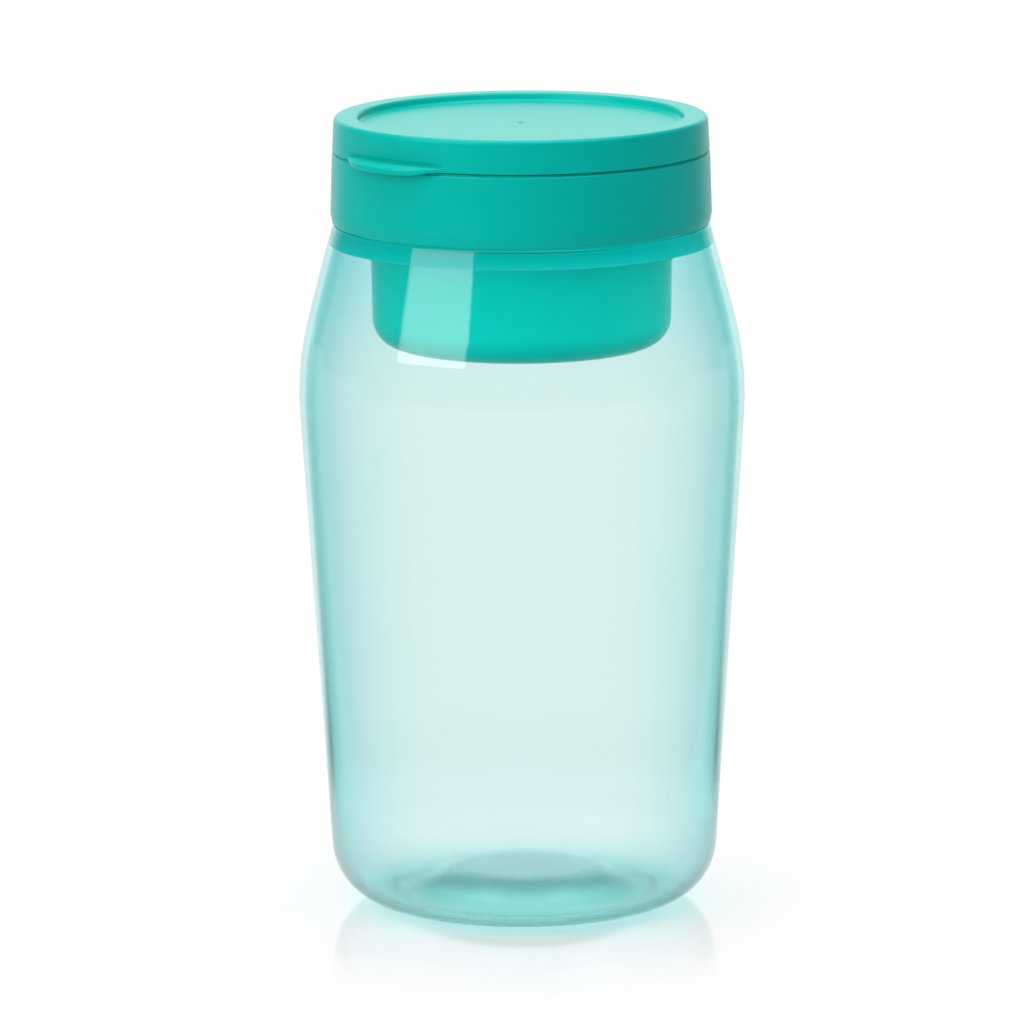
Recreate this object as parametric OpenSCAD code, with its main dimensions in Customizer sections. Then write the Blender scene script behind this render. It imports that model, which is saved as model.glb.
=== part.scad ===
// Storage jar with a snack cup that screws onto its neck and a press-on lid.
// The jar stands on z = 0 with its axis on Z, and the front looks along -Y.

/* [Jar] */
// Outside diameter at the hip, the widest ring
jar_d = 95; // [88:0.5:104]
// Height of the hip above the table
hip_h = 110; // [80:1:140]
// Radius of the round over the hip, seen from the side
hip_round = 66; // [30:1:90]
// Outside diameter just above the bottom corner
foot_d = 82.6; // [76:0.2:88]
// Radius of the bottom corner
foot_round = 13; // [8:0.5:15]
// Height from the hip to the ledge under the collar
shoulder_rise = 36.6; // [28:0.2:56]
// Wall of the blown body
jar_wall = 1.4; // [1:0.1:2]
// Thickness of the bottom
base_t = 1.8; // [1.2:0.1:3]
// Width of the flat ring that the jar stands on
stand_w = 4; // [2:0.5:6]
// Height that the middle of the bottom is pushed up
punt_h = 5.2; // [2:0.1:8]
// Diameter of the pushed-up middle
punt_d = 35; // [20:1:38]
// Set-back of the ledge from the collar's edge
ledge_in = 0.4; // [0.1:0.05:0.8]
// Height of the tapering throat under the ledge
throat_h = 4.8; // [4:0.1:9]
// Thickness of the ledge at the neck's bore
ledge_t = 1.6; // [0.5:0.1:2]

/* [Neck and thread] */
// Diameter of the neck between the thread ridges
neck_d = 75; // [66:0.5:80]
// Height of the neck above the ledge
neck_h = 12; // [9:0.5:18]
// Wall of the neck
neck_wall = 1.6; // [1.2:0.1:2.4]
// Number of thread starts
thread_starts = 4; // [2:1:6]
// Rise in one full turn
thread_lead = 16; // [10:0.5:20]
// Height of a thread ridge out of its wall
thread_depth = 1; // [0.7:0.1:1.4]
// Free play between two flanks
thread_play = 0.5; // [0.3:0.1:0.8]
// Gap between walls that pass each other
fit = 0.35; // [0.25:0.05:0.6]

/* [Snack cup] */
// Gap between the cup and the neck's bore
cup_gap = 3.7; // [2:0.1:8]
// Depth of the cup from the collar's top to its underside
cup_depth = 41.5; // [25:0.5:60]
// Wall of the cup
cup_wall = 1.4; // [1:0.1:2]
// Outside radius of the cup's bottom corner
cup_round = 6; // [3:0.5:9]
// Narrowing of the cup from its top to its bottom, on the radius
cup_draft = 0.5; // [0:0.1:1.5]
// Wall of the screw collar at its foot
collar_wall = 1.65; // [1.3:0.05:2.5]
// Narrowing of the collar from its foot to its top, on the radius
collar_draft = 0.4; // [0:0.05:0.6]
// Gap between the collar and the jar's ledge
collar_gap = 0.4; // [0.3:0.05:1]
// Height of the bevel round the collar's foot
collar_bevel = 2; // [0.5:0.1:4]
// Thickness of the deck that joins the collar and the cup
deck_t = 2.2; // [1.6:0.1:3.5]
// Wall of the ring that takes the lid
ring_wall = 1.2; // [0.9:0.1:2]

/* [Rim seal] */
// Thickness of the sealing ring
seal_t = 1.8; // [1.4:0.1:3]
// Width of the sealing ring
seal_w = 1.1; // [0.7:0.1:1.3]
// Depth of its groove in the deck
groove_h = 0.6; // [0.4:0.1:1]

/* [Lid] */
// Height of the lid from its skirt's edge to its top
lid_h = 7.1; // [6:0.1:12]
// Set-back of the lid's edge from the collar's top
lid_in = 0.05; // [0:0.05:0.3]
// Gap between the lid's skirt and the collar
lid_gap = 0.5; // [0.3:0.05:1]
// Wall of the skirt at its edge
skirt_wall = 1.4; // [1.1:0.1:2]
// Narrowing of the skirt towards the top, on the radius
skirt_draft = 0.4; // [0:0.05:0.5]
// Thickness of the lid's top
lid_t = 1.4; // [1:0.1:2]
// Radius of the lid's upper edge
lid_round = 0.6; // [0.5:0.1:2]
// Depth of the panel below the lid's raised edge
panel_drop = 1.6; // [0.8:0.1:2.4]
// Wall of the plug that goes into the ring
plug_wall = 1.2; // [0.9:0.1:2]
// Length of the plug below the panel's top
plug_h = 4; // [3:0.1:5]
// Height of the snap beads out of their walls
snap = 0.3; // [0.2:0.05:0.5]
// Reach of the pull tab beyond the skirt
tab_reach = 3.6; // [2:0.1:4.5]
// Radius of the pull tab's edge, seen from above
tab_round = 19; // [10:0.5:26]
// Thickness of the pull tab
tab_t = 1.8; // [1.2:0.1:2.4]
// Angle of the pull tab from the front, towards the left
tab_turn = 47.5; // [0:0.5:180]
// Depth of the nail groove above the tab
nail_depth = 0.6; // [0.3:0.05:0.7]
// Height of the nail groove
nail_h = 1.2; // [0.8:0.1:1.6]
// Angle that the nail groove takes round the skirt
nail_turn = 40; // [20:1:60]

/* [Hidden] */
$fn = 128;

jar_tint = [0.62, 0.85, 0.83, 0.45];
teal = [0.01, 0.72, 0.67];
seal_grey = [0.86, 0.90, 0.89];

// Small edges: a break on sharp corners, and how deep a ridge is rooted in its wall
edge = 0.4;
ridge_root = 0.4;
arc_step = 4;
nail_step = 15;
ridge_step = 6;
ridge_runout = 12;
crest_share = 0.5;
gate_d = 1.4;
gate_h = 0.25;
hip_share = 0.98;

// Heights, from the table up
shoulder_h = hip_h + shoulder_rise;
rim_h = shoulder_h + neck_h;
collar_foot_h = shoulder_h + collar_gap;
groove_roof_h = rim_h + seal_t;
deck_h = groove_roof_h - groove_h;
collar_top_h = deck_h + deck_t;
cup_foot_h = collar_top_h - cup_depth;
lid_foot_h = collar_top_h + lid_gap;
lid_top_h = lid_foot_h + lid_h;
ring_top_h = lid_top_h - lid_t;
panel_h = lid_top_h - panel_drop;

// Radii, from the neck out and then in again
neck_r = neck_d / 2;
bore_r = neck_r - neck_wall;
collar_bore_r = neck_r + thread_depth + fit;
collar_r = collar_bore_r + collar_wall;
collar_top_r = collar_r - collar_draft;
ledge_r = collar_r - ledge_in;
cup_r = bore_r - cup_gap;
cup_foot_r = cup_r - cup_draft;
skirt_r = collar_top_r - lid_in;
skirt_bore_r = skirt_r - skirt_wall;
ring_r = skirt_bore_r - 2 * snap - fit;
ring_bore_r = ring_r - ring_wall;
plug_r = ring_bore_r - fit;
plug_bore_r = plug_r - plug_wall;
seal_mid_r = neck_r - neck_wall / 2;

// Thread: the cup's ridges run half a pitch below the jar's
thread_pitch = thread_lead / thread_starts;
ridge_h = thread_pitch / 2 - thread_play;
cup_ridge_h = collar_foot_h + collar_bevel + ridge_h / 2;
jar_ridge_h = cup_ridge_h + thread_pitch / 2;
ridge_top_h = rim_h - edge - ridge_h;
ridge_turn = (ridge_top_h - jar_ridge_h) / thread_lead * 360;

// Side of the jar: the hip's round meets the ledge and the bottom corner on tangents
jar_r = jar_d / 2;
hip_in = jar_r - ledge_r;
hip_limit = hip_share * (pow(hip_in, 2) + pow(shoulder_rise, 2)) / (2 * hip_in);
hip_r = min(hip_round, hip_limit);
hip_mid = [jar_r - hip_r, hip_h];
foot_mid = [foot_d / 2 - foot_round, foot_round];
ledge_edge = [ledge_r, shoulder_h];
floor_round = foot_round - base_t;
floor_mid = [foot_d / 2 - jar_wall - floor_round, foot_round];

// Points along an arc
function arc(mid, r, from, to) =
    let (n = ceil(abs(to - from) / arc_step))
    [for (i = [0:n]) let (a = from + (to - from) * i / n) mid + r * [cos(a), sin(a)]];

// Direction in which two circles share an outer tangent, seen from the larger one
function tangent_turn(mid_a, r_a, mid_b, r_b) =
    let (d = mid_b - mid_a)
    atan2(d.y, d.x) + sign(-d.y) * acos((r_a - r_b) / norm(d));

shoulder_turn = tangent_turn(hip_mid, hip_r, ledge_edge, 0);
wall_turn = tangent_turn(hip_mid, hip_r, foot_mid, foot_round);
bore_turn = tangent_turn(hip_mid, hip_r - jar_wall, floor_mid, floor_round);

// Inside of the shoulder, one wall in from its outside, where the throat begins
throat_foot_h = shoulder_h - throat_h;
throat_foot_r =
    (ledge_edge * [cos(shoulder_turn), sin(shoulder_turn)] - jar_wall
        - throat_foot_h * sin(shoulder_turn)) / cos(shoulder_turn);

jar_outside = concat(
    [[0, punt_h], [punt_d / 2, punt_h], [foot_mid.x - stand_w, 0]],
    arc(foot_mid, foot_round, -90, wall_turn),
    arc(hip_mid, hip_r, wall_turn, shoulder_turn),
    [ledge_edge + edge * [sin(shoulder_turn), -cos(shoulder_turn)], ledge_edge - [edge, 0]],
    [[neck_r, shoulder_h], [neck_r, rim_h - edge], [neck_r - edge, rim_h]]
);

// Bottom to top, so that it is read backwards to close the outline
jar_inside = concat(
    [[0, punt_h + base_t], [punt_d / 2, punt_h + base_t]],
    [[foot_mid.x - stand_w, base_t]],
    arc(floor_mid, floor_round, -90, bore_turn),
    arc(hip_mid, hip_r - jar_wall, bore_turn, shoulder_turn),
    [[throat_foot_r, throat_foot_h], [bore_r, shoulder_h - ledge_t]],
    [[bore_r, rim_h - edge], [bore_r + edge, rim_h]]
);

function reversed(list) = [for (i = [len(list) - 1:-1:0]) list[i]];

// One thread ridge: its section is swept up a helix and sinks into the wall at both ends
// out is 1 for a ridge that stands outwards and -1 for one that stands inwards
module ridge(wall_r, out, foot_h) {
    n = ceil(ridge_turn / ridge_step);
    base = ridge_h / 2;
    crest = base * crest_share;
    root = wall_r - out * ridge_root;
    function height(i) =
        let (k = min(1, ridge_turn * min(i, n - i) / n / ridge_runout))
        k * (thread_depth + ridge_root / 2) - ridge_root / 2;
    function section(i) =
        let (top = wall_r + out * height(i))
        let (s = [[root, -base], [top, -crest], [top, crest], [root, base]])
        out > 0 ? s : reversed(s);
    points = [
        for (i = [0:n], p = section(i))
            let (a = ridge_turn * i / n)
            [p.x * cos(a), p.x * sin(a), foot_h + thread_lead * a / 360 + p.y]
    ];
    sides = [
        for (i = [0:n - 1], j = [0:3], half = [0, 1])
            let (a = 4 * i + j, b = 4 * i + (j + 1) % 4)
            half == 0 ? [a, b, a + 4] : [b, b + 4, a + 4]
    ];
    ends = [[0, 2, 1], [0, 3, 2], [4 * n, 4 * n + 1, 4 * n + 2], [4 * n, 4 * n + 2, 4 * n + 3]];
    polyhedron(points, concat(sides, ends));
}

module thread(wall_r, out, foot_h) {
    for (i = [0:thread_starts - 1]) rotate(360 * i / thread_starts) ridge(wall_r, out, foot_h);
}

// Blown jar with a pushed-up bottom and a threaded neck behind the collar
module jar() {
    color(jar_tint) union() {
        rotate_extrude() polygon(concat(jar_outside, reversed(jar_inside)));
        thread(neck_r, 1, jar_ridge_h);
    }
}

// Soft ring between the neck's rim and the groove in the deck
module rim_seal() {
    color(seal_grey) rotate_extrude()
        translate([seal_mid_r - seal_w / 2, rim_h]) square([seal_w, seal_t]);
}

// Screw collar, deck, cup and lid ring in one moulding
module snack_cup() {
    cup_mid = [cup_foot_r - cup_round, cup_foot_h + cup_round];
    well_round = cup_round - cup_wall;
    groove_r = seal_mid_r + seal_w / 2 + fit;
    groove_bore_r = seal_mid_r - seal_w / 2 - fit;
    ring_bead_h = ring_top_h - 2 * snap;
    outside = concat(
        [[0, cup_foot_h]],
        arc(cup_mid, cup_round, -90, 0),
        [[cup_r, deck_h], [groove_bore_r, deck_h], [groove_bore_r, groove_roof_h]],
        [[groove_r, groove_roof_h], [groove_r, deck_h], [collar_bore_r, deck_h]],
        [[collar_bore_r, collar_foot_h], [collar_r - edge, collar_foot_h]],
        [[collar_r, collar_foot_h + collar_bevel], [collar_top_r, collar_top_h - edge]],
        [[collar_top_r - edge, collar_top_h], [ring_r, collar_top_h]],
        [[ring_r, ring_bead_h - 2 * snap], [ring_r + snap, ring_bead_h - snap]],
        [[ring_r + snap, ring_bead_h], [ring_r - snap, ring_top_h]]
    );
    inside = concat(
        [[0, cup_foot_h + cup_wall]],
        arc(cup_mid, well_round, -90, 0),
        [[cup_r - cup_wall, collar_top_h], [ring_bore_r, collar_top_h]],
        [[ring_bore_r, ring_top_h - snap], [ring_bore_r + snap, ring_top_h]]
    );
    color(teal) union() {
        rotate_extrude() polygon(concat(outside, reversed(inside)));
        thread(collar_bore_r, -1, cup_ridge_h);
    }
}

// Press-on lid with a sunk panel, a plug inside the ring and a pull tab
module lid() {
    skirt_top_r = skirt_r - skirt_draft;
    brow_mid = [skirt_top_r - lid_round, lid_top_h - lid_round];
    recess_r = plug_r - plug_wall / 2;
    bead_h = lid_foot_h + 3 * snap;
    section = concat(
        [[0, panel_h - lid_t], [plug_bore_r, panel_h - lid_t], [plug_bore_r, panel_h - plug_h]],
        [[plug_r - edge, panel_h - plug_h], [plug_r, panel_h - plug_h + edge], [plug_r, ring_top_h]],
        [[skirt_bore_r, ring_top_h], [skirt_bore_r, bead_h + 2 * snap]],
        [[skirt_bore_r - snap, bead_h + snap], [skirt_bore_r - snap, bead_h]],
        [[skirt_bore_r, bead_h - snap], [skirt_bore_r, lid_foot_h], [skirt_r, lid_foot_h]],
        arc(brow_mid, lid_round, 0, 90),
        [[recess_r + 2 * edge, lid_top_h], [recess_r + edge, lid_top_h - edge]],
        [[recess_r, panel_h + edge], [recess_r - edge, panel_h], [0, panel_h]]
    );
    color(teal) union() {
        difference() {
            rotate_extrude() polygon(section);
            nail_groove();
        }
        translate([0, 0, panel_h]) cylinder(d = gate_d, h = gate_h);
        tab();
    }
}

// Groove in the skirt right above the tab, for a nail or a fingertip
module nail_groove() {
    section = concat(
        [for (a = [0:nail_step:90]) [skirt_r - nail_depth * cos(a), nail_h * sin(a)]],
        [[skirt_r + edge, nail_h], [skirt_r + edge, 0]]
    );
    rotate(-90 - tab_turn - nail_turn / 2) translate([0, 0, lid_foot_h + tab_t])
        rotate_extrude(angle = nail_turn) polygon(section);
}

// Round tab that stands out of the skirt's edge
module tab() {
    rotate(-90 - tab_turn) translate([0, 0, lid_foot_h]) difference() {
        translate([skirt_r + tab_reach - tab_round, 0]) rotate_extrude()
            polygon([[0, 0], [tab_round - edge, 0], [tab_round, edge], [tab_round, tab_t - edge],
                [tab_round - edge, tab_t], [0, tab_t]]);
        translate([0, 0, -edge]) cylinder(r = skirt_r - skirt_wall / 2, h = tab_t + 2 * edge);
    }
}

jar();
rim_seal();
snack_cup();
lid();
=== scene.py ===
import math

import bpy
from mathutils import Matrix, Quaternion, Vector


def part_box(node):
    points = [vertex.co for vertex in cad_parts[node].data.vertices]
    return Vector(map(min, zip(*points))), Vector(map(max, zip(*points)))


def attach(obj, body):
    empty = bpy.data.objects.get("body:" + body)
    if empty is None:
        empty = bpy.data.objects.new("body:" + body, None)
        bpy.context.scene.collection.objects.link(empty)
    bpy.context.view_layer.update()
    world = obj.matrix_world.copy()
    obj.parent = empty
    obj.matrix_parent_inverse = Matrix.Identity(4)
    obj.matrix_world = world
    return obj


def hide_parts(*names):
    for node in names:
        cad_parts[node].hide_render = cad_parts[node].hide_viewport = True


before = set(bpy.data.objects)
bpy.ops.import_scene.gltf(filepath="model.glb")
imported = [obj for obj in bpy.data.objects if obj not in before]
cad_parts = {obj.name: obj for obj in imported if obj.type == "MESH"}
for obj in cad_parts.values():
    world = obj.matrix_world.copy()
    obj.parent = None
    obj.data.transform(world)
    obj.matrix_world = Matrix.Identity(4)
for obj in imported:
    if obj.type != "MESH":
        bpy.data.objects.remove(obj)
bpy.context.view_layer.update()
scene = bpy.context.scene
scene.view_settings.view_transform = "Standard"
mm = 0.001  # every size below is in millimetres
hair = 0.01  # sizes closer than this count as the same
print("frame loaded:", sorted(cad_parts))

# Long lens a little above the jar, turned a hair so that the jar leans as it does in the photo
cameraSet = {"distance": 1780, "rise": 10.6, "aim": (-2.3, 0, 84), "sensor": 36, "lens": 292.7,
             "roll": -0.31, "farthest": 20000}


def addCamera():
    s = cameraSet
    data = bpy.data.cameras.new("camera")
    data.sensor_width = s["sensor"]
    data.lens = s["lens"]
    data.clip_end = s["farthest"] * mm
    camera = bpy.data.objects.new("camera", data)
    scene.collection.objects.link(camera)
    rise = math.radians(s["rise"])
    back = Vector((0, -math.cos(rise), math.sin(rise)))
    camera.location = (Vector(s["aim"]) + back * s["distance"]) * mm
    camera.rotation_mode = "QUATERNION"
    roll = Quaternion((0, 0, 1), math.radians(s["roll"]))
    camera.rotation_quaternion = (-back).to_track_quat("-Z", "Y") @ roll
    scene.camera = camera


addCamera()
print("camera placed")


# Outlines: corners are (radius, height) or (radius, height, round), and a round becomes an arc
def rounded(corners, turnStep=6):
    line = []
    for i, corner in enumerate(corners):
        here = Vector(corner[:2])
        if len(corner) < 3:
            line.append(here)
            continue
        before = (Vector(corners[i - 1][:2]) - here).normalized()
        after = (Vector(corners[(i + 1) % len(corners)][:2]) - here).normalized()
        half = before.angle(after) / 2
        middle = here + (before + after).normalized() * corner[2] / math.sin(half)
        spoke = here + before * corner[2] / math.tan(half) - middle
        side = 1 if before.cross(after) < 0 else -1
        sweep = math.pi - 2 * half
        count = max(3, math.ceil(math.degrees(sweep) / turnStep))
        for k in range(count + 1):
            line.append(middle + Matrix.Rotation(side * sweep * k / count, 2) @ spoke)
    return line


# Rows close to both ends of each straight stretch, so that smooth shading stays flat between rounds
def heldFlat(line, hold=0.3):
    held = []
    for a, b in zip(line, line[1:]):
        held.append(a)
        length = (b - a).length
        if length > 4 * hold:
            held += [a.lerp(b, hold / length), a.lerp(b, 1 - hold / length)]
    return held + [line[-1]]


# More rows across the upright wall near one radius, at the heights given
def addRows(line, radius, heights, near=0.4, shortest=0.5):
    rows = []
    for a, b in zip(line, line[1:]):
        rows.append(a)
        low, high = sorted((a.y, b.y))
        if abs((a.x + b.x) / 2 - radius) < near and high - low > shortest:
            wanted = [h for h in heights if low + hair < h < high - hair]
            rows += [a.lerp(b, (h - a.y) / (b.y - a.y)) for h in sorted(wanted, reverse=b.y < a.y)]
    return rows + [line[-1]]


# Spins a line round Z into one closed mesh; push moves a point out by what it says for its angle
def lathe(name, line, turns, push=None):
    points, rings, faces = [], [], []
    for radius, height in line:
        if radius < 1e-6:
            rings.append([len(points)])
            points.append((0, 0, height * mm))
            continue
        rings.append(range(len(points), len(points) + turns))
        for k in range(turns):
            angle = 2 * math.pi * k / turns
            r = (radius + (push(math.degrees(angle), radius, height) if push else 0)) * mm
            points.append((r * math.cos(angle), r * math.sin(angle), height * mm))
    pairs = list(zip(rings, rings[1:]))
    if len(rings[0]) > 1:
        pairs.append((rings[-1], rings[0]))
    for low, high in pairs:
        for k in range(turns):
            n = (k + 1) % turns
            if len(low) == 1:
                faces.append((low[0], high[n], high[k]))
            elif len(high) == 1:
                faces.append((low[k], low[n], high[0]))
            else:
                faces.append((low[k], low[n], high[n], high[k]))
    mesh = bpy.data.meshes.new(name)
    mesh.from_pydata(points, [], faces)
    mesh.shade_smooth()
    piece = bpy.data.objects.new(name, mesh)
    scene.collection.objects.link(piece)
    return piece


def steps(low, high, spacing):
    count = math.ceil((high - low) / spacing)
    return [low + (high - low) * i / count for i in range(count + 1)]


# Where two circles share an outer tangent, as an angle seen from the larger one
def tangentTurn(mid, radius, otherMid, otherRadius):
    way = otherMid - mid
    lean = math.acos((radius - otherRadius) / way.length)
    return math.atan2(way.y, way.x) + math.copysign(lean, -way.y)


# Corner in which two tangents of a circle meet
def tangentCorner(mid, radius, turnA, turnB):
    reach = radius / math.cos((turnB - turnA) / 2)
    middle = (turnA + turnB) / 2
    return mid + reach * Vector((math.cos(middle), math.sin(middle)))


def highest(node):
    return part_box(node)[1] / mm


def lowest(node):
    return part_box(node)[0] / mm


# Four ridges that climb together; side is 1 for a ridge that stands out and -1 for one that stands in
threadSet = {"starts": 4, "lead": 16, "depth": 1, "ridge": 1.5, "crest": 0.75, "turn": 111.4,
             "runout": 12, "row": 0.15, "neckFoot": 151.75, "collarFoot": 149.75}


def threadPush(wall, side, foot):
    s = threadSet

    def push(angle, radius, height):
        if abs(radius - wall) > hair:
            return 0
        lift = 0
        for start in range(s["starts"]):
            along = (angle - 360 * start / s["starts"]) % 360
            ends = min(1, along / s["runout"], (s["turn"] - along) / s["runout"])
            away = abs(height - foot - s["lead"] * along / 360)
            flank = (s["ridge"] / 2 - away) / (s["ridge"] / 2 - s["crest"] / 2)
            lift = max(lift, s["depth"] * min(1, flank) * ends if flank > 0 else 0)
        return side * lift

    return push


def threadRows(line, wall, foot):
    s = threadSet
    top = foot + s["lead"] * s["turn"] / 360 + s["ridge"] / 2
    return addRows(line, wall, steps(foot - s["ridge"] / 2 - s["row"], top + s["row"], s["row"]))


# The punt is the pushed-up middle of the bottom, the throat the thick clear ring under the neck
jarSet = {"hipHeight": 110, "hipRound": 66, "footWidth": 82.6, "footRound": 13, "wall": 1.4,
          "base": 1.8, "stand": 4, "puntHeight": 5.2, "puntWidth": 35, "puntRound": 12,
          "ledgeRadius": 40.1, "ledgeHeight": 146.6, "ledgeThick": 1.6, "boreRound": 1,
          "throat": 4, "throatRound": 1, "paintOver": 0.2, "neckRadius": 37.5, "neckWall": 1.6,
          "lip": 0.5, "turnStep": 4, "turns": 256}


def makeJar():
    s = jarSet
    rim = highest("jar").z
    hipMid = Vector((highest("jar").x - s["hipRound"], s["hipHeight"]))
    footMid = Vector((s["footWidth"] / 2 - s["footRound"], s["footRound"]))
    floorRound = s["footRound"] - s["base"]
    floorMid = Vector((s["footWidth"] / 2 - s["wall"] - floorRound, s["footRound"]))
    ledge = Vector((s["ledgeRadius"], s["ledgeHeight"]))
    innerRound = s["hipRound"] - s["wall"]
    shoulder = tangentTurn(hipMid, s["hipRound"], ledge, 0)
    side = tangentTurn(hipMid, s["hipRound"], footMid, s["footRound"])
    bore = tangentTurn(hipMid, innerRound, floorMid, floorRound)
    down = math.radians(-90)
    footCorner = tangentCorner(footMid, s["footRound"], down, side)
    hipCorner = tangentCorner(hipMid, s["hipRound"], side, shoulder)
    innerHip = tangentCorner(hipMid, innerRound, bore, shoulder)
    innerFoot = tangentCorner(floorMid, floorRound, down, bore)
    throatFoot, throatTop = s["ledgeHeight"] - s["throat"], s["ledgeHeight"] - s["ledgeThick"]
    shoulderOut = Vector((math.cos(shoulder), math.sin(shoulder)))
    throatRadius = (ledge @ shoulderOut - s["wall"] - throatFoot * shoulderOut.y) / shoulderOut.x
    neckBore = s["neckRadius"] - s["neckWall"]
    slopeFoot = footMid.x - s["stand"]
    puntTop = s["puntHeight"] + s["base"]
    line = heldFlat(rounded([
        (0, s["puntHeight"]), (s["puntWidth"] / 2, s["puntHeight"], s["puntRound"]),
        (slopeFoot, 0, s["puntRound"]), (*footCorner, s["footRound"]),
        (*hipCorner, s["hipRound"]), (*ledge, s["lip"]), (s["neckRadius"], s["ledgeHeight"], s["lip"]),
        (s["neckRadius"], rim, s["lip"]), (neckBore, rim, s["lip"]),
        (neckBore, throatTop, s["boreRound"]), (throatRadius, throatFoot, s["throatRound"]),
        (*innerHip, innerRound), (*innerFoot, floorRound), (slopeFoot, s["base"], s["puntRound"]),
        (s["puntWidth"] / 2, puntTop, s["puntRound"]), (0, puntTop),
    ], s["turnStep"]))
    line = threadRows(line, s["neckRadius"], threadSet["neckFoot"])
    push = threadPush(s["neckRadius"], 1, threadSet["neckFoot"])
    jar = lathe("jar_body", line, s["turns"], push)
    # The throat's underside gets a material of its own, a painted reflection of the collar with painted
    # glow, also over part of the rounds at its ends
    over = s["paintOver"]
    for face in jar.data.polygons:
        radius, height = face.center.xy.length / mm, face.center.z / mm
        inThroat = throatFoot - over < height < throatTop + over
        face.material_index = int(inThroat and neckBore < radius < throatRadius + over / 2)
    return jar


# The groove takes the sealing ring, and the step stands behind the line between collar and lid
cupSet = {"collarRadius": 40.5, "collarTopRadius": 40.1, "collarBore": 38.85, "collarFoot": 147,
          "bevel": 2, "deck": 159.8, "deckTop": 162, "deckRound": 1, "stepRadius": 39.5,
          "stepHeight": 0.33, "stepRound": 0.1, "cupRadius": 32.2, "cupFootRadius": 31.7, "wall": 1.4,
          "cornerRound": 6, "grooveRoof": 160.4, "grooveIn": 35.8, "grooveOut": 37.6, "grooveRound": 0.15,
          "ringRadius": 37.7, "ringBore": 36.5, "bead": 0.3, "edge": 0.4, "turns": 256}


def makeSnackCup():
    s = cupSet
    foot, top = lowest("snack_cup").z, highest("snack_cup").z
    bead, edge, wall, tight = s["bead"], s["edge"], s["wall"], s["grooveRound"]
    stepTop = s["deckTop"] + s["stepHeight"]
    line = heldFlat(rounded([
        (0, foot), (s["cupFootRadius"], foot, s["cornerRound"]), (s["cupRadius"], s["deck"], s["deckRound"]),
        (s["grooveIn"], s["deck"], tight), (s["grooveIn"], s["grooveRoof"], tight),
        (s["grooveOut"], s["grooveRoof"], tight), (s["grooveOut"], s["deck"], tight),
        (s["collarBore"], s["deck"], edge), (s["collarBore"], s["collarFoot"], edge / 2),
        (s["collarRadius"] - edge, s["collarFoot"], edge / 2),
        (s["collarRadius"], s["collarFoot"] + s["bevel"], edge),
        (s["collarTopRadius"], s["deckTop"], edge), (s["stepRadius"], s["deckTop"], s["stepRound"]),
        (s["stepRadius"], stepTop, s["stepRound"]), (s["ringRadius"], stepTop, edge),
        (s["ringRadius"], top - 4 * bead, bead), (s["ringRadius"] + bead, top - 3 * bead, bead / 2),
        (s["ringRadius"] + bead, top - 2 * bead, bead / 2), (s["ringRadius"] - bead, top, bead),
        (s["ringBore"] + bead, top, bead / 2), (s["ringBore"], top - bead, bead / 2),
        (s["ringBore"], s["deckTop"], edge), (s["cupRadius"] - wall, s["deckTop"], edge),
        (s["cupFootRadius"] - wall, foot + wall, s["cornerRound"] - wall), (0, foot + wall),
    ]))
    line = threadRows(line, s["collarBore"], threadSet["collarFoot"])
    push = threadPush(s["collarBore"], -1, threadSet["collarFoot"])
    return lathe("screw_collar_and_cup", line, s["turns"], push)


sealSet = {"inside": 36.15, "outside": 37.25, "round": 0.35, "turnStep": 15, "turns": 192}


def makeSeal():
    s = sealSet
    foot, top = lowest("rim_seal").z, highest("rim_seal").z
    corners = [(s["inside"], foot), (s["outside"], foot), (s["outside"], top), (s["inside"], top)]
    line = rounded([(*corner, s["round"]) for corner in corners], s["turnStep"])
    return lathe("rim_seal_ring", line, s["turns"])


# The gate is the moulding mark in the middle of the panel, in a shallow dish
lidSet = {"skirtRadius": 40.05, "skirtTopRadius": 39.65, "skirtBore": 38.65, "topRound": 1,
          "panelDrop": 1.6, "thick": 1.4, "recessRadius": 34.3, "recessEdge": 0.7,
          "plugRadius": 36.15, "plugBore": 34.95, "plugLength": 4, "bead": 0.3, "edge": 0.4, "footEdge": 0.3,
          "gateRadius": 0.5, "gateHeight": 0.12, "gateRound": 0.1, "dishRadius": 2.2, "dishDepth": 0.08,
          "dishRound": 1, "turns": 360}
tabSet = {"centre": 24.65, "radius": 19, "thick": 0.95, "edge": 0.4, "edgeRow": 0.08, "angle": -134.5,
          "within": 30, "hang": 0.7, "hangTop": 0.25, "hangFrom": 0.5, "hangRun": 2.2,
          "nailDepth": 0.4, "nailHeight": 0.9, "nailHalf": 20.5, "nailEnd": 1.5, "nailRow": 0.12,
          "nailPast": 0.1}


def smoothStep(x):
    x = min(1, max(0, x))
    return x * x * (3 - 2 * x)


# The skirt's lowest rows run out to the tab's round edge, and a nail groove is sunk above them
def tabPush(foot):
    s = tabSet
    tabTop = foot + s["thick"]
    mid = (lidSet["skirtBore"] + lidSet["skirtRadius"]) / 2

    def push(angle, radius, height):
        turn = (angle - s["angle"] + 180) % 360 - 180
        if radius < mid or height > tabTop + s["nailHeight"] or abs(turn) > s["within"]:
            return 0
        if height > tabTop + hair:
            up = (height - tabTop) / s["nailHeight"]
            ends = smoothStep((s["nailHalf"] - abs(turn)) / s["nailEnd"])
            return -s["nailDepth"] * ends * math.sqrt(max(0, 1 - up * up))
        across = s["centre"] * math.sin(math.radians(turn))
        reach = s["centre"] * math.cos(math.radians(turn)) - lidSet["skirtRadius"]
        reach += math.sqrt(max(0, s["radius"] ** 2 - across ** 2))
        over = max(0, height - tabTop + s["edge"])
        inset = s["edge"] - math.sqrt(max(0, s["edge"] ** 2 - over ** 2))
        return max(0, reach - inset)

    return push


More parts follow.
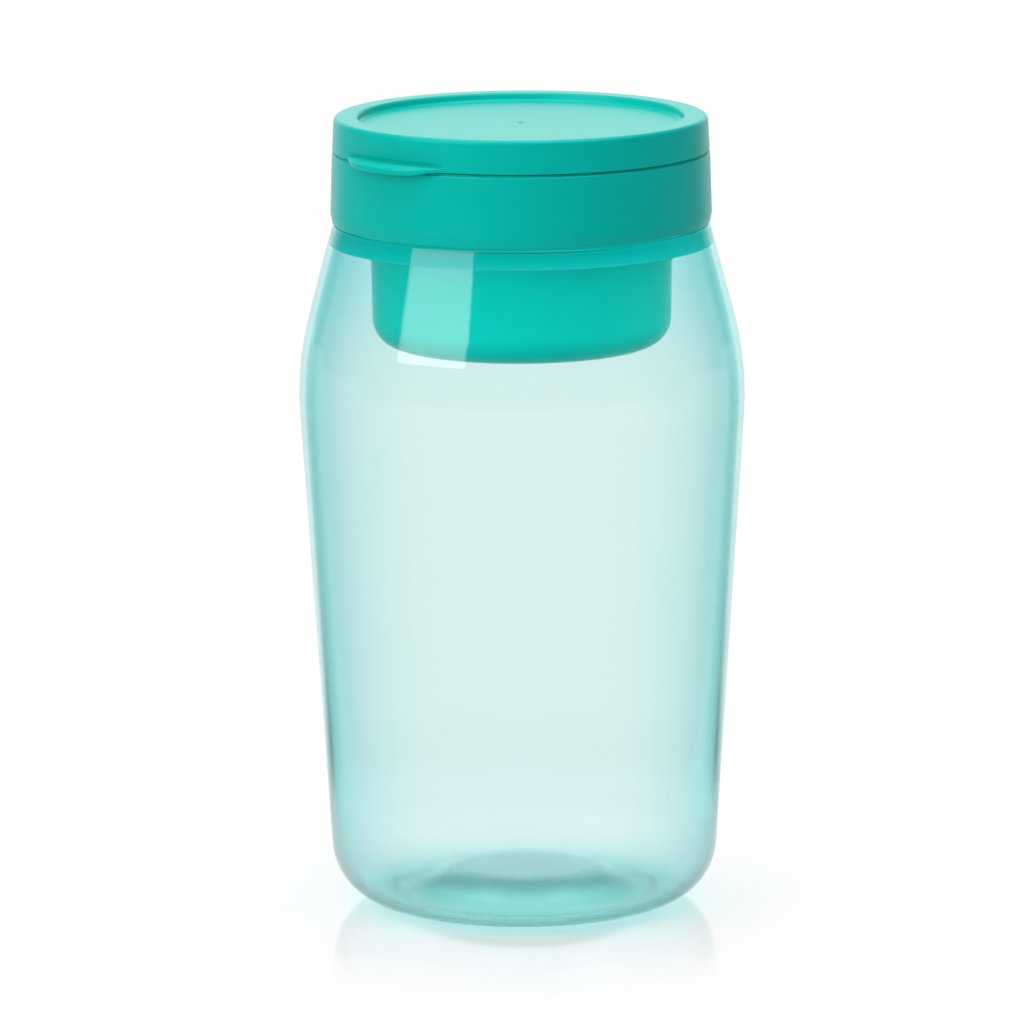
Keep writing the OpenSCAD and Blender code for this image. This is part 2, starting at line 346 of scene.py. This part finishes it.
def makeLid():
    s, t = lidSet, tabSet
    foot, top = lowest("lid").z, highest("lid").z
    panel = top - s["panelDrop"]
    plugFoot, roof = panel - s["plugLength"], top - s["thick"]
    bead, edge = s["bead"], s["edge"]
    beadFoot = foot + 3 * bead
    line = heldFlat(rounded([
        (0, panel - s["thick"]), (s["plugBore"], panel - s["thick"], edge), (s["plugBore"], plugFoot, edge),
        (s["plugRadius"], plugFoot, edge), (s["plugRadius"], roof, edge), (s["skirtBore"], roof, edge),
        (s["skirtBore"], beadFoot + 2 * bead, bead / 2), (s["skirtBore"] - bead, beadFoot + bead, bead / 2),
        (s["skirtBore"] - bead, beadFoot, bead / 2), (s["skirtBore"], beadFoot - bead, bead / 2),
        (s["skirtBore"], foot, bead / 2), (s["skirtRadius"], foot, s["footEdge"]),
        (s["skirtTopRadius"], top, s["topRound"]), (s["recessRadius"] + edge, top, s["recessEdge"]),
        (s["recessRadius"], panel, s["recessEdge"]), (s["dishRadius"], panel, s["dishRound"]),
        (s["gateRadius"], panel - s["dishDepth"], s["gateRound"]),
        (s["gateRadius"], panel + s["gateHeight"], s["gateRound"]), (0, panel + s["gateHeight"]),
    ]))
    tabTop = foot + t["thick"]
    edgeRows = steps(tabTop - t["edge"], tabTop, t["edgeRow"])
    nailRows = steps(tabTop + 2 * hair, tabTop + t["nailHeight"] + t["nailPast"], t["nailRow"])
    line = addRows(line, s["skirtRadius"], [*edgeRows, *nailRows])
    piece = lathe("press_on_lid", line, s["turns"], tabPush(foot))
    # The tab hangs outside the collar, more with its foot than with its top
    for point in piece.data.vertices:
        out = point.co.xy.length / mm - s["skirtRadius"]
        up = (point.co.z / mm - foot) / t["thick"]
        hang = t["hang"] * (1 - up) + t["hangTop"] * up
        point.co.z -= smoothStep((out - t["hangFrom"]) / t["hangRun"]) * hang * mm
    return piece


jarBody, snackCup, seal, lid = makeJar(), makeSnackCup(), makeSeal(), makeLid()
for piece, body, node, slot in [
    (jarBody, "jar", "jar", "clear_body"),
    (snackCup, "snack_cup", "snack_cup", "cup_and_collar"),
    (seal, "rim_seal", "rim_seal", "seal"),
    (lid, "lid", "lid", "lid"),
]:
    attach(piece, body)
    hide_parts(node)
print("meshes made:", [piece.name for piece in (jarBody, snackCup, seal, lid)])


def linear(hexColour):
    channels = [int(hexColour[i:i + 2], 16) / 255 for i in (1, 3, 5)]
    return (*[c / 12.92 if c <= 0.04045 else ((c + 0.055) / 1.055) ** 2.4 for c in channels], 1)


def grey(level):
    return (level, level, level, 1)


# Adds one node: settings go to its properties or sockets, or as (place, colour) stops to its ramp;
# links come from other nodes, from their first output where none is named
def addNode(tree, kind, settings=None, links=None):
    node = tree.nodes.new("ShaderNode" + kind)
    for key, value in (settings or {}).items():
        if key == "stops":
            ends = node.color_ramp.elements
            for end, (place, colour) in zip(ends, (value[0], value[-1])):
                end.position, end.color = place, colour
            for place, colour in value[1:-1]:
                ends.new(place).color = colour
        elif isinstance(key, str) and hasattr(node, key):
            setattr(node, key, value)
        else:
            node.inputs[key].default_value = value
    for key, source in (links or {}).items():
        tree.links.new(source.outputs[0] if hasattr(source, "outputs") else source, node.inputs[key])
    return node


def newMaterial(name):
    material = bpy.data.materials.new(name)
    material.use_nodes = True
    material.node_tree.nodes.clear()
    return material, material.node_tree


def patternScale(size):
    return 1 / (size * mm)  # noise cells per metre for cells of this many millimetres


# Settings that turn a length between two marks in millimetres into a value from low to high
def between(marks, low=0, high=1):
    return {1: marks[0] * mm, 2: marks[1] * mm, 3: low, 4: high}


# edgeOn is the colour by how far the wall turns from the eye, byHeight multiplies it up the wall, and thick
# is painted shade in the middle of the bottom
clearSet = {
    "ior": 1.5, "roughness": (0.02, 0.05), "waveSize": 16, "waveHeight": 0.02, "waveStrength": 0.3,
    "glow": "#7EFBF2", "density": 115, "lampShare": 0.95,
    "edgeOn": [(0.15, "#FFFFFF"), (0.45, "#EBFBFD"), (0.62, "#D8FBFD"), (0.78, "#B2FAFC"), (1, "#59F2F7")],
    "byHeight": [(3, "#FFFFFF"), (13, "#F8F8FA"), (34, "#FFFFFF"), (112, "#FFFFFF"), (140, "#ECFEFF")],
    "lowShare": 0.7, "lowHeight": (15, 6), "thick": "#E8F4F6", "shadedMiddleRadius": (27, 15),
    "frost": 0.12, "frostHeight": (24, 13), "frostRadius": (25, 33), "dullMirror": 0.05, "grain": 0.25,
}


# Clarified polypropylene, blown: see-through, deeper in colour where the wall is seen edge on, faintly
# wavy, dull round the bottom corner, where it cooled slowest, and grained on the outside of the bottom
def blownClearPolypropylene():
    s = clearSet
    material, tree = newMaterial("polypropyleneBlownClear")
    place = addNode(tree, "TexCoord").outputs["Object"]
    height = addNode(tree, "SeparateXYZ", {}, {0: place}).outputs["Z"]
    level = addNode(tree, "VectorMath", {"operation": "MULTIPLY", 1: (1, 1, 0)}, {0: place})
    radius = addNode(tree, "VectorMath", {"operation": "LENGTH"}, {0: level}).outputs["Value"]
    waves = addNode(tree, "TexNoise", {"Scale": patternScale(s["waveSize"]), "Detail": 1}, {"Vector": place})
    satin = addNode(tree, "MapRange", {3: s["roughness"][0], 4: s["roughness"][1]}, {0: waves})
    bump = addNode(tree, "Bump", {"Strength": s["waveStrength"], "Distance": s["waveHeight"] * mm},
                   {"Height": waves})
    # Low down the thinner corner deepens less
    facing = addNode(tree, "LayerWeight").outputs["Facing"]
    paler = addNode(tree, "MapRange", between(s["lowHeight"], 1, s["lowShare"]), {0: height})
    turned = addNode(tree, "Math", {"operation": "MULTIPLY"}, {0: facing, 1: paler})
    stops = [(share, linear(colour)) for share, colour in s["edgeOn"]]
    edgeOn = addNode(tree, "ValToRGB", {"stops": stops}, {0: turned})
    # The middle of the bottom is deeper in colour: painted shade for the shadowed floor seen through it
    multiply = {"data_type": "RGBA", "blend_type": "MULTIPLY"}
    shadedMiddle = addNode(tree, "MapRange", between(s["shadedMiddleRadius"]), {0: radius})
    bottom = addNode(tree, "Mix", {**multiply, 7: linear(s["thick"])}, {0: shadedMiddle, 6: edgeOn})
    top = s["byHeight"][-1][0]
    up = addNode(tree, "MapRange", between((0, top)), {0: height})
    stops = [(z / top, linear(colour)) for z, colour in s["byHeight"]]
    wall = addNode(tree, "ValToRGB", {"stops": stops}, {0: up})
    tint = addNode(tree, "Mix", {**multiply, 0: 1}, {6: bottom.outputs[2], 7: wall})
    # Frost and a weaker mirror round the bottom corner
    low = addNode(tree, "MapRange", between(s["frostHeight"]), {0: height})
    corner = addNode(tree, "MapRange", between(s["frostRadius"]), {0: radius})
    dull = addNode(tree, "Math", {"operation": "MULTIPLY"}, {0: low, 1: corner})
    frosted = addNode(tree, "Math", {"operation": "MULTIPLY_ADD", 1: s["frost"]}, {0: dull, 2: satin})
    mirror = addNode(tree, "MapRange", {3: 1, 4: s["dullMirror"]}, {0: dull})
    # Grain on what lies below the middle of the bottom's thickness
    half = jarSet["base"] / 2
    slope = (jarSet["puntWidth"] / 2, s["frostRadius"][0])
    rising = between(slope, (jarSet["puntHeight"] + half) * mm, half * mm)
    middle = addNode(tree, "MapRange", rising, {0: radius})
    under = addNode(tree, "Math", {"operation": "LESS_THAN"}, {0: height, 1: middle})
    rough = addNode(tree, "Math", {"operation": "MULTIPLY_ADD", 1: s["grain"]}, {0: under, 2: frosted})
    clear = addNode(tree, "BsdfPrincipled", {"IOR": s["ior"], "Transmission Weight": 1},
                    {"Base Color": tint.outputs[2], "Roughness": rough, "Normal": bump,
                     "Specular Tint": mirror})
    lampRay = addNode(tree, "LightPath").outputs["Is Shadow Ray"]
    passing = addNode(tree, "BsdfTransparent", {"Color": grey(s["lampShare"])})
    surface = addNode(tree, "MixShader", {}, {0: lampRay, 1: clear, 2: passing})
    depth = addNode(tree, "VolumeAbsorption", {"Color": linear(s["glow"]), "Density": s["density"]})
    addNode(tree, "OutputMaterial", {}, {"Surface": surface, "Volume": depth})
    return material


# The tool's grain is finer than 0.1 mm and is drawn coarser here, so that it shows
tealSet = {"colour": "#00CDBF", "deep": "#00C5B7", "flow": 18, "sheen": "#70FFFF", "ior": 1.49,
           "roughness": (0.3, 0.38), "grain": 0.35, "grainHeight": 0.004, "grainStrength": 0.2}


# Polypropylene, moulded in a lightly blasted tool: even colour, a satin sheen and a whitened grazing edge
def mouldedSatinPolypropylene():
    s = tealSet
    material, tree = newMaterial("polypropyleneMouldedSatin")
    place = addNode(tree, "TexCoord").outputs["Object"]
    flow = addNode(tree, "TexNoise", {"Scale": patternScale(s["flow"]), "Detail": 2}, {"Vector": place})
    grain = addNode(tree, "TexNoise", {"Scale": patternScale(s["grain"]), "Detail": 2}, {"Vector": place})
    shades = {"data_type": "RGBA", 6: linear(s["colour"]), 7: linear(s["deep"])}
    colour = addNode(tree, "Mix", shades, {0: flow})
    satin = addNode(tree, "MapRange", {3: s["roughness"][0], 4: s["roughness"][1]}, {0: grain})
    bump = addNode(tree, "Bump", {"Strength": s["grainStrength"], "Distance": s["grainHeight"] * mm},
                   {"Height": grain})
    plastic = addNode(tree, "BsdfPrincipled", {"IOR": s["ior"], "Specular Tint": linear(s["sheen"])},
                      {"Base Color": colour.outputs[2], "Roughness": satin, "Normal": bump})
    addNode(tree, "OutputMaterial", {}, {"Surface": plastic})
    return material


# Painted reflection of the collar (colour, deep) and painted glow (glow, strength) for the throat's
# underside
paintedThroatSet = {"colour": "#006C68", "deep": "#006561", "roughness": 0.5, "glow": "#00D0CA", "strength": 0.62}


# The throat's thick clear ring mirrors the collar to the eye by more inner turns than are followed, so its
# underside gets a painted reflection:
# opaque teal in the collar's colour, with a painted glow that evens its shading; light for the cup passes it
def throatPaintedReflection():
    s = paintedThroatSet
    material, tree = newMaterial("throatPaintedReflectionAndGlow")
    place = addNode(tree, "TexCoord").outputs["Object"]
    scale = patternScale(tealSet["flow"])
    flow = addNode(tree, "TexNoise", {"Scale": scale, "Detail": 2}, {"Vector": place})
    shades = {"data_type": "RGBA", 6: linear(s["colour"]), 7: linear(s["deep"])}
    colour = addNode(tree, "Mix", shades, {0: flow})
    paintedCollar = addNode(tree, "BsdfPrincipled",
                     {"IOR": tealSet["ior"], "Roughness": s["roughness"],
                      "Emission Color": linear(s["glow"]), "Emission Strength": s["strength"]},
                     {"Base Color": colour.outputs[2]})
    ray = addNode(tree, "LightPath").outputs
    passing = addNode(tree, "BsdfTransparent", {"Color": grey(clearSet["lampShare"])})
    lit = addNode(tree, "MixShader", {}, {0: ray["Is Diffuse Ray"], 1: paintedCollar, 2: passing})
    surface = addNode(tree, "MixShader", {}, {0: ray["Is Shadow Ray"], 1: lit, 2: passing})
    addNode(tree, "OutputMaterial", {}, {"Surface": surface})
    return material


siliconeSet = {"colour": "#DDE6E3", "deep": "#D2DCD9", "ior": 1.41, "roughness": 0.6, "bloom": 3}


# Silicone, press-moulded: dull, milky and a little patchy where it has bloomed
def mouldedSilicone():
    s = siliconeSet
    material, tree = newMaterial("siliconeMoulded")
    place = addNode(tree, "TexCoord").outputs["Object"]
    bloom = addNode(tree, "TexNoise", {"Scale": patternScale(s["bloom"])}, {"Vector": place})
    shades = {"data_type": "RGBA", 6: linear(s["colour"]), 7: linear(s["deep"])}
    colour = addNode(tree, "Mix", shades, {0: bloom})
    rubber = addNode(tree, "BsdfPrincipled", {"IOR": s["ior"], "Roughness": s["roughness"]},
                     {"Base Color": colour.outputs[2]})
    addNode(tree, "OutputMaterial", {}, {"Surface": rubber})
    return material


teal = mouldedSatinPolypropylene()
for material in (blownClearPolypropylene(), throatPaintedReflection()):
    jarBody.data.materials.append(material)
for piece in (snackCup, lid):
    piece.data.materials.append(teal)
seal.data.materials.append(mouldedSilicone())
print("materials made")

# What a mirrored ray meets above and below, by how far it points back: -1 is the camera, 1 the backdrop
roomSet = {"aim": (0, 0, 85), "ambient": 0.28, "inside": (0.8, 2.95), "white": 1.3,
           "above": [(-1, 0.005), (-0.1, 0.015), (0.2, 0.04), (0.75, 0.08), (0.87, 0.5), (0.93, 1)],
           "below": [(-1, 0.3), (-0.1, 0.25), (0.2, 0.28), (0.74, 0.3), (0.84, 0.7), (0.89, 1)]}


# Grey for a direction's Y
def roomLevel(tree, levels, y):
    back = addNode(tree, "MapRange", {1: -1, 2: 1}, {0: y})
    stops = [((place + 1) / 2, grey(level)) for place, level in levels]
    return addNode(tree, "ValToRGB", {"stops": stops}, {0: back})


# 1 for a ray that was mirrored or bent on its way from the camera, before any matt surface
def bentRay(tree, ray):
    bent = addNode(tree, "Math", {"operation": "MAXIMUM"},
                   {0: ray["Is Glossy Ray"], 1: ray["Is Transmission Ray"]})
    return addNode(tree, "Math", {"operation": "SUBTRACT", "use_clamp": True},
                   {0: bent, 1: ray["Diffuse Depth"]})


# 1 for a ray that was mirrored at least once: a view straight through the jar is white from every side
def mirroredRay(tree, ray):
    return addNode(tree, "Math", {"operation": "MINIMUM", 1: 1}, {0: ray["Glossy Depth"]})


# Plain white's share of the floor is around times ahead: around goes by the distance from the jar's axis,
# ahead by the distance from a point in front of it, with widths counted more
floorSet = {"size": 6000, "sunk": 0.02, "paintedShadow": [(8, "#CCE4E0"), (31, "#FAF1F5")], "roughness": 0.05,
            "ior": 1.49, "around": [(22, 0), (72, 1)], "ahead": [(8, 0.32), (38, 0.5), (75, 1)],
            "inFront": 30, "widths": 1.35, "room": (55, 170)}


# Acrylic sheet, cast and polished: white with a painted shadow under and round the jar's foot, mirrors the
# foot softly and fades to plain white around it
def addFloor():
    s = floorSet
    half, low = s["size"] / 2 * mm, -s["sunk"] * mm
    mesh = bpy.data.meshes.new("floor")
    corners = [(-half, -half, low), (half, -half, low), (half, half, low), (-half, half, low)]
    mesh.from_pydata(corners, [], [(0, 1, 2, 3)])
    floor = bpy.data.objects.new("floor", mesh)
    scene.collection.objects.link(floor)
    material, tree = newMaterial("acrylicFloor")
    place = addNode(tree, "TexCoord").outputs["Object"]
    away = addNode(tree, "VectorMath", {"operation": "LENGTH"}, {0: place}).outputs["Value"]
    reach = s["ahead"][-1][0]
    near = addNode(tree, "MapRange", between((0, reach)), {0: away})
    stops = [(radius / reach, grey(share)) for radius, share in s["around"]]
    around = addNode(tree, "ValToRGB", {"stops": stops}, {0: near})
    shift = {"operation": "MULTIPLY_ADD", 1: (s["widths"], 1, 1), 2: (0, s["inFront"] * mm, 0)}
    front = addNode(tree, "VectorMath", shift, {0: place})
    past = addNode(tree, "VectorMath", {"operation": "LENGTH"}, {0: front}).outputs["Value"]
    far = addNode(tree, "MapRange", between((0, reach)), {0: past})
    stops = [(radius / reach, grey(share)) for radius, share in s["ahead"]]
    ahead = addNode(tree, "ValToRGB", {"stops": stops}, {0: far})
    fade = addNode(tree, "Math", {"operation": "MULTIPLY"}, {0: around, 1: ahead})
    ray = addNode(tree, "LightPath").outputs
    seen = addNode(tree, "Math", {"operation": "MAXIMUM"}, {0: ray["Is Camera Ray"], 1: bentRay(tree, ray)})
    share = addNode(tree, "Math", {"operation": "MULTIPLY"}, {0: seen, 1: fade})
    # Painted shadow: the sheet's colour is darker and teal-tinted under and close round the jar's foot
    stops = [(radius / reach, linear(colour)) for radius, colour in s["paintedShadow"]]
    paintedShadow = addNode(tree, "ValToRGB", {"stops": stops}, {0: near})
    sheet = addNode(tree, "BsdfPrincipled", {"Roughness": s["roughness"], "IOR": s["ior"]},
                    {"Base Color": paintedShadow})
    # Far out it is as dark as the room on that side, for the rays that the jar mirrors
    way = addNode(tree, "VectorMath", {"operation": "NORMALIZE"}, {0: place})
    back = addNode(tree, "SeparateXYZ", {}, {0: way}).outputs["Y"]
    level = roomLevel(tree, roomSet["below"], back)
    out = addNode(tree, "MapRange", {"interpolation_type": "SMOOTHSTEP", **between(s["room"])}, {0: away})
    dim = addNode(tree, "Math", {"operation": "MULTIPLY"}, {0: out, 1: mirroredRay(tree, ray)})
    colour = addNode(tree, "Mix", {"data_type": "RGBA", 6: grey(1)}, {0: dim, 7: level})
    white = addNode(tree, "Emission", {"Strength": 1}, {"Color": colour.outputs[2]})
    mix = addNode(tree, "MixShader", {}, {0: share, 1: sheet, 2: white})
    # From below it is left out, so that the jar's foot can be seen
    below = addNode(tree, "NewGeometry").outputs["Backfacing"]
    nothing = addNode(tree, "BsdfTransparent")
    top = addNode(tree, "MixShader", {}, {0: below, 1: mix, 2: nothing})
    addNode(tree, "OutputMaterial", {}, {"Surface": top})
    mesh.materials.append(material)


# Softboxes: azimuth is to the left of the camera, and bright is what they show beside white
softboxes = {
    "key": {"azimuth": 49.5, "rise": 29.6, "distance": 900, "width": 620, "height": 510, "bright": 2.6},
    "overhead": {"azimuth": 0, "rise": 88, "distance": 1000, "width": 1100, "height": 1100, "bright": 2.1},
}


def addLights():
    aim = Vector(roomSet["aim"]) * mm
    for name, s in softboxes.items():
        azimuth, rise = math.radians(s["azimuth"]), math.radians(s["rise"])
        flat = math.cos(rise)
        way = Vector((-math.sin(azimuth) * flat, -math.cos(azimuth) * flat, math.sin(rise)))
        data = bpy.data.lights.new(name, "AREA")
        data.shape = "RECTANGLE"
        data.size, data.size_y = s["width"] * mm, s["height"] * mm
        data.energy = s["bright"] * math.pi * data.size * data.size_y
        lamp = bpy.data.objects.new(name, data)
        scene.collection.objects.link(lamp)
        lamp.location = aim + way * s["distance"] * mm
        lamp.rotation_mode = "QUATERNION"
        lamp.rotation_quaternion = way.to_track_quat("Z", "Y")


# White backdrop behind and a darker room in front, which only mirrored rays see; lamps do the lighting
def addWorld():
    s = roomSet
    world = bpy.data.worlds.new("studio")
    scene.world = world
    world.use_nodes = True
    tree = world.node_tree
    tree.nodes.clear()
    ray = addNode(tree, "LightPath").outputs
    place = addNode(tree, "TexCoord").outputs["Generated"]
    way = addNode(tree, "SeparateXYZ", {}, {0: place}).outputs
    level = roomLevel(tree, s["above"], way["Y"])
    plain = {"data_type": "RGBA", 6: grey(1 / s["white"])}  # comes to 1 by the room's strength
    seen = addNode(tree, "Mix", plain, {0: mirroredRay(tree, ray), 7: level})
    # The jar's wall spreads light, so the cup in it is lit from all round, and more where the key isn't
    spread = addNode(tree, "MapRange", {1: -1, 2: 1, 3: s["inside"][0], 4: s["inside"][1]}, {0: way["X"]})
    around = addNode(tree, "MapRange", {3: s["ambient"]}, {0: ray["Is Transmission Ray"], 4: spread})
    fill = addNode(tree, "Background", {"Color": grey(1)}, {"Strength": around})
    room = addNode(tree, "Background", {"Strength": s["white"]}, {"Color": seen.outputs[2]})
    white = addNode(tree, "Background", {"Color": grey(1), "Strength": 1})
    lit = addNode(tree, "MixShader", {}, {0: bentRay(tree, ray), 1: fill, 2: room})
    shown = addNode(tree, "MixShader", {}, {0: ray["Is Camera Ray"], 1: lit, 2: white})
    addNode(tree, "OutputWorld", {}, {"Surface": shown})


addFloor()
addLights()
addWorld()
print("floor, lamps and room made")
